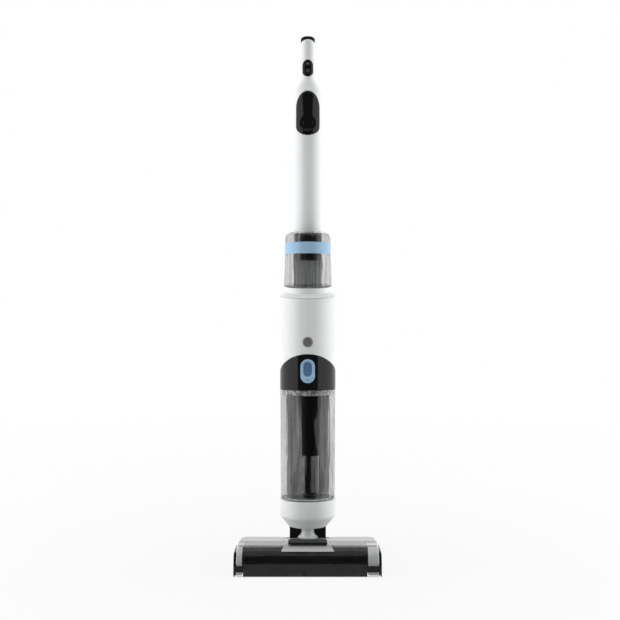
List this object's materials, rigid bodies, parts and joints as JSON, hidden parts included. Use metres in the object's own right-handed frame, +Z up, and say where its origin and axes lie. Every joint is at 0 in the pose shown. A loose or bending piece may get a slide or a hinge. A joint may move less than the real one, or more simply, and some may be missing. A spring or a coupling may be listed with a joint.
{
  "type": "wet dry floor scrubber",
  "caption": "Upright cordless wet and dry floor washer: powered roller head, pitching and swivelling neck, round body with two removable tanks, straight pole with short grip.",
  "frame": {"origin": "on the floor, at the middle of the machine's footprint", "axes": "+Z up the pole, front of the machine towards -Y, +X to the right seen from the front"},
  "size_m": [0.287, 0.246, 1.105],
  "materials": {
    "white_plastic": "moulded, satin gloss",
    "black_plastic": "moulded, fine grain",
    "dark_plastic": "moulded, fine grain",
    "grey_plastic": "moulded, fine grain",
    "silver_plastic": "silver-grey, satin",
    "black_gloss": "polished",
    "light_blue": "satin",
    "grey_button": "satin",
    "smoky_clear": "clear, lightly smoked",
    "fleece": "dense pile",
    "rubber": "matt",
    "belt_rubber": "ribbed",
    "soft_grip": "soft touch",
    "steel": "plated",
    "contact_brass": "plated",
    "motor_metal": "turned",
    "cell_wrap": "sleeved",
    "circuit_board": "solder mask",
    "filter_paper": "pleated"
  },
  "bodies": {
    "floor_head": {"head_chassis": "dark_plastic", "deck_cover": "silver_plastic", "deck_screws": "steel", "squeegee_blade": "rubber", "scraper_bar": "dark_plastic", "spray_bar": "grey_plastic", "brush_motor": "motor_metal", "drive_belt": "belt_rubber", "wheel_axles": "steel", "pitch_pins": "steel", "suction_hose": "belt_rubber"},
    "roller": {"roller_core": "grey_plastic", "roller_nap": "fleece", "roller_end_cap": "grey_plastic", "roller_pulley": "grey_plastic"},
    "motor_drive": {"motor_pulley": "steel"},
    "brush_cover": {"cover_shell": "smoky_clear", "cover_tongue": "silver_plastic", "cover_bumper_left": "black_plastic", "cover_bumper_right": "black_plastic", "latch_spring": "steel"},
    "cover_release": {"cover_latch": "black_plastic"},
    "wheel_left": {"wheel_hub_left": "grey_plastic", "wheel_tyre_left": "rubber"},
    "wheel_right": {"wheel_hub_right": "grey_plastic", "wheel_tyre_right": "rubber"},
    "yoke": {"pitch_yoke": "black_plastic", "swivel_bush": "grey_plastic"},
    "upper_body": {"neck_stem": "white_plastic", "base_cup": "white_plastic", "charge_contacts": "contact_brass", "rear_spine": "grey_plastic", "rear_cover": "white_plastic", "battery_cells": "cell_wrap", "body_front_shell": "white_plastic", "body_screws": "steel", "motor_bulkhead": "dark_plastic", "suction_motor": "motor_metal", "main_board": "circuit_board", "water_pump": "dark_plastic", "seat_collar": "white_plastic", "pole_tube": "white_plastic", "display_lens": "black_gloss", "grip_front_shell": "white_plastic", "grip_rear_cover": "soft_grip", "control_panel": "black_gloss"},
    "fan": {"fan_impeller": "grey_plastic"},
    "body_key": {"grey_button": "grey_button"},
    "power_key": {"power_button": "grey_button"},
    "mode_key": {"mode_button": "grey_button"},
    "dirty_tank": {"dirty_tank_cup": "smoky_clear", "inlet_seal": "rubber", "separator_column": "black_plastic", "tank_lid": "black_gloss", "tank_filter": "filter_paper"},
    "float": {"tank_float": "grey_plastic"},
    "tank_release": {"release_button": "light_blue"},
    "clean_tank": {"clean_tank_shell": "smoky_clear", "clean_tank_band": "light_blue", "clean_tank_cap": "black_plastic"}
  },
  "joints": [
    {"name": "roller_spin", "type": "hinge", "parent": "floor_head", "child": "roller", "pos_m": [0, -0.0914, 0.025], "axis": [1, 0, 0], "continuous": true},
    {"name": "motor_spin", "type": "hinge", "parent": "floor_head", "child": "motor_drive", "pos_m": [0, -0.036, 0.025], "axis": [1, 0, 0], "continuous": true},
    {"name": "cover_lift", "type": "slide", "parent": "floor_head", "child": "brush_cover", "axis": [0, 0, 1], "range_m": [0, 0.06]},
    {"name": "latch_press", "type": "slide", "parent": "brush_cover", "child": "cover_release", "axis": [0, 0, -1], "range_m": [0, 0.002], "stiffness_N_per_m": 300, "springref_m": -0.001, "deforming": ["latch_spring"]},
    {"name": "wheel_left_roll", "type": "hinge", "parent": "floor_head", "child": "wheel_left", "pos_m": [-0.112, 0.106, 0.0105], "axis": [1, 0, 0], "continuous": true},
    {"name": "wheel_right_roll", "type": "hinge", "parent": "floor_head", "child": "wheel_right", "pos_m": [0.112, 0.106, 0.0105], "axis": [1, 0, 0], "continuous": true},
    {"name": "neck_pitch", "type": "hinge", "parent": "floor_head", "child": "yoke", "pos_m": [0, 0.058, 0.026], "axis": [-1, 0, 0], "range_deg": [0, 65], "deforming": ["suction_hose"]},
    {"name": "neck_swivel", "type": "hinge", "parent": "yoke", "child": "upper_body", "pos_m": [0, 0.029, 0.042], "axis": [0, 0, 1], "range_deg": [-45, 45]},
    {"name": "fan_spin", "type": "hinge", "parent": "upper_body", "child": "fan", "pos_m": [0, 0.029, 0.442], "axis": [0, 0, 1], "continuous": true},
    {"name": "grey_button_press", "type": "slide", "parent": "upper_body", "child": "body_key", "axis": [0, 1, 0], "range_m": [0, 0.0025], "stiffness_N_per_m": 300, "springref_m": -0.001},
    {"name": "power_button_press", "type": "slide", "parent": "upper_body", "child": "power_key", "axis": [0, 1, 0], "range_m": [0, 0.0012], "stiffness_N_per_m": 300, "springref_m": -0.001},
    {"name": "mode_button_press", "type": "slide", "parent": "upper_body", "child": "mode_key", "axis": [0, 1, 0], "range_m": [0, 0.0012], "stiffness_N_per_m": 300, "springref_m": -0.001},
    {"name": "dirty_tank_slide", "type": "slide", "parent": "upper_body", "child": "dirty_tank", "axis": [0, -1, 0], "range_m": [0, 0.12]},
    {"name": "float_rise", "type": "slide", "parent": "dirty_tank", "child": "float", "axis": [0, 0, 1], "range_m": [0, 0.015]},
    {"name": "tank_release_press", "type": "slide", "parent": "dirty_tank", "child": "tank_release", "axis": [0, 1, 0], "range_m": [0, 0.003], "stiffness_N_per_m": 300, "springref_m": -0.001},
    {"name": "clean_tank_slide", "type": "slide", "parent": "upper_body", "child": "clean_tank", "axis": [0, -0.9903, -0.1392], "range_m": [0, 0.1]}
  ],
  "couplings": [
    {"joint": "motor_spin", "follows": "roller_spin", "ratio": 1.5714}
  ]
}
